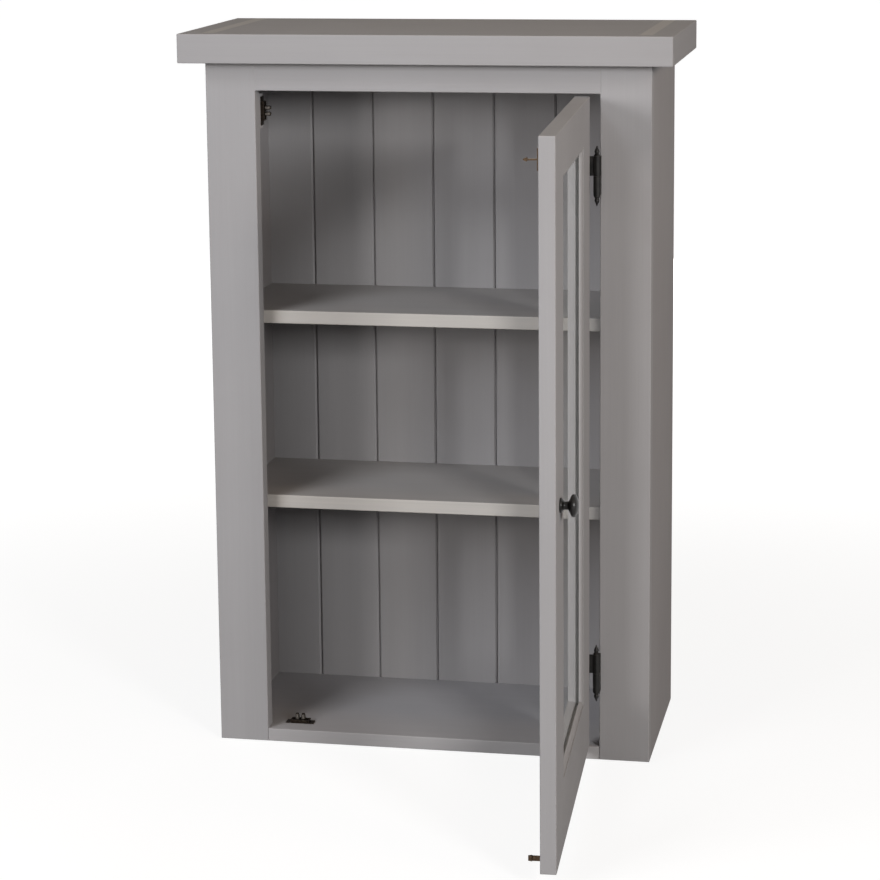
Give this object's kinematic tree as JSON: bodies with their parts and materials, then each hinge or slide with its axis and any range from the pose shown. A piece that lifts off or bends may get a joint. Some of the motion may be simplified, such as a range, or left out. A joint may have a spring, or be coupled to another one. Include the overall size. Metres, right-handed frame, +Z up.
{
  "type": "kitchen wall cupboard",
  "caption": "Painted wooden kitchen cupboard with a thick overhanging top, shelves against a boarded back, and an inset glazed door on finial hinges with roller catches.",
  "frame": {"origin": "centre of the carcass's underside", "axes": "+Z up, +Y towards the wall, +X towards the hinge side"},
  "size_m": [0.66, 0.7406, 0.9843],
  "materials": {
    "painted_wood": "brushed grey paint",
    "black_iron": "black, soft sheen",
    "dark_bronze": "dark bronzed",
    "spring_steel": "bright wire",
    "clear_glass": "clear, polished"
  },
  "bodies": {
    "carcass": {"top_board": "painted_wood", "top_cleat_left": "painted_wood", "top_cleat_right": "painted_wood", "top_front_lipping": "painted_wood", "left_stile": "painted_wood", "right_stile": "painted_wood", "face_frame_rail": "painted_wood", "left_side": "painted_wood", "right_side": "painted_wood", "base_board": "painted_wood", "lower_shelf": "painted_wood", "upper_shelf": "painted_wood", "hanging_rail": "painted_wood", "catch_block": "painted_wood", "back_board_1": "painted_wood", "back_board_2": "painted_wood", "back_board_3": "painted_wood", "back_board_4": "painted_wood", "back_board_5": "painted_wood", "back_board_6": "painted_wood", "back_board_7": "painted_wood", "upper_hinge_frame_leaf": "black_iron", "lower_hinge_frame_leaf": "black_iron", "upper_hinge_pin": "black_iron", "lower_hinge_pin": "black_iron", "upper_catch_body": "dark_bronze", "lower_catch_body": "dark_bronze", "upper_catch_first_spring": "spring_steel", "upper_catch_second_spring": "spring_steel", "lower_catch_first_spring": "spring_steel", "lower_catch_second_spring": "spring_steel"},
    "door": {"door_free_stile": "painted_wood", "door_hinge_stile": "painted_wood", "door_top_rail": "painted_wood", "door_bottom_rail": "painted_wood", "door_bead_bottom": "painted_wood", "door_bead_hinge": "painted_wood", "door_bead_top": "painted_wood", "door_bead_free": "painted_wood", "upper_hinge_door_leaf": "black_iron", "lower_hinge_door_leaf": "black_iron", "knob": "black_iron", "knob_bolt": "black_iron", "upper_strike": "dark_bronze", "lower_strike": "dark_bronze", "door_glass": "clear_glass"},
    "upper_catch_first_jaw": {"upper_catch_first_jaw": "dark_bronze"},
    "upper_catch_first_roller": {"upper_catch_first_roller": "dark_bronze"},
    "upper_catch_second_jaw": {"upper_catch_second_jaw": "dark_bronze"},
    "upper_catch_second_roller": {"upper_catch_second_roller": "dark_bronze"},
    "lower_catch_first_jaw": {"lower_catch_first_jaw": "dark_bronze"},
    "lower_catch_first_roller": {"lower_catch_first_roller": "dark_bronze"},
    "lower_catch_second_jaw": {"lower_catch_second_jaw": "dark_bronze"},
    "lower_catch_second_roller": {"lower_catch_second_roller": "dark_bronze"}
  },
  "joints": [
    {"name": "door_hinge", "type": "hinge", "parent": "carcass", "child": "door", "pos_m": [0.22875, -0.144, 0.4625], "axis": [0, 0, 1], "range_deg": [-93, 87]},
    {"name": "upper_catch_first_jaw_slide", "type": "slide", "parent": "carcass", "child": "upper_catch_first_jaw", "axis": [0, 0, 1], "range_m": [0, 0.002], "stiffness_N_per_m": 200, "springref_m": -0.004, "deforming": ["upper_catch_first_spring"]},
    {"name": "upper_catch_first_roller_spin", "type": "hinge", "parent": "upper_catch_first_jaw", "child": "upper_catch_first_roller", "pos_m": [-0.22335, -0.1045, 0.8812], "axis": [1, 0, 0], "continuous": true},
    {"name": "upper_catch_second_jaw_slide", "type": "slide", "parent": "carcass", "child": "upper_catch_second_jaw", "axis": [0, 0, -1], "range_m": [0, 0.002], "stiffness_N_per_m": 200, "springref_m": -0.004, "deforming": ["upper_catch_second_spring"]},
    {"name": "upper_catch_second_roller_spin", "type": "hinge", "parent": "upper_catch_second_jaw", "child": "upper_catch_second_roller", "pos_m": [-0.22335, -0.1045, 0.8728], "axis": [1, 0, 0], "continuous": true},
    {"name": "lower_catch_first_jaw_slide", "type": "slide", "parent": "carcass", "child": "lower_catch_first_jaw", "axis": [-1, 0, 0], "range_m": [0, 0.002], "stiffness_N_per_m": 200, "springref_m": -0.004, "deforming": ["lower_catch_first_spring"]},
    {"name": "lower_catch_first_roller_spin", "type": "hinge", "parent": "lower_catch_first_jaw", "child": "lower_catch_first_roller", "pos_m": [-0.1982, -0.1045, 0.02665], "axis": [0, 0, 1], "continuous": true},
    {"name": "lower_catch_second_jaw_slide", "type": "slide", "parent": "carcass", "child": "lower_catch_second_jaw", "axis": [1, 0, 0], "range_m": [0, 0.002], "stiffness_N_per_m": 200, "springref_m": -0.004, "deforming": ["lower_catch_second_spring"]},
    {"name": "lower_catch_second_roller_spin", "type": "hinge", "parent": "lower_catch_second_jaw", "child": "lower_catch_second_roller", "pos_m": [-0.1898, -0.1045, 0.02665], "axis": [0, 0, 1], "continuous": true}
  ]
}
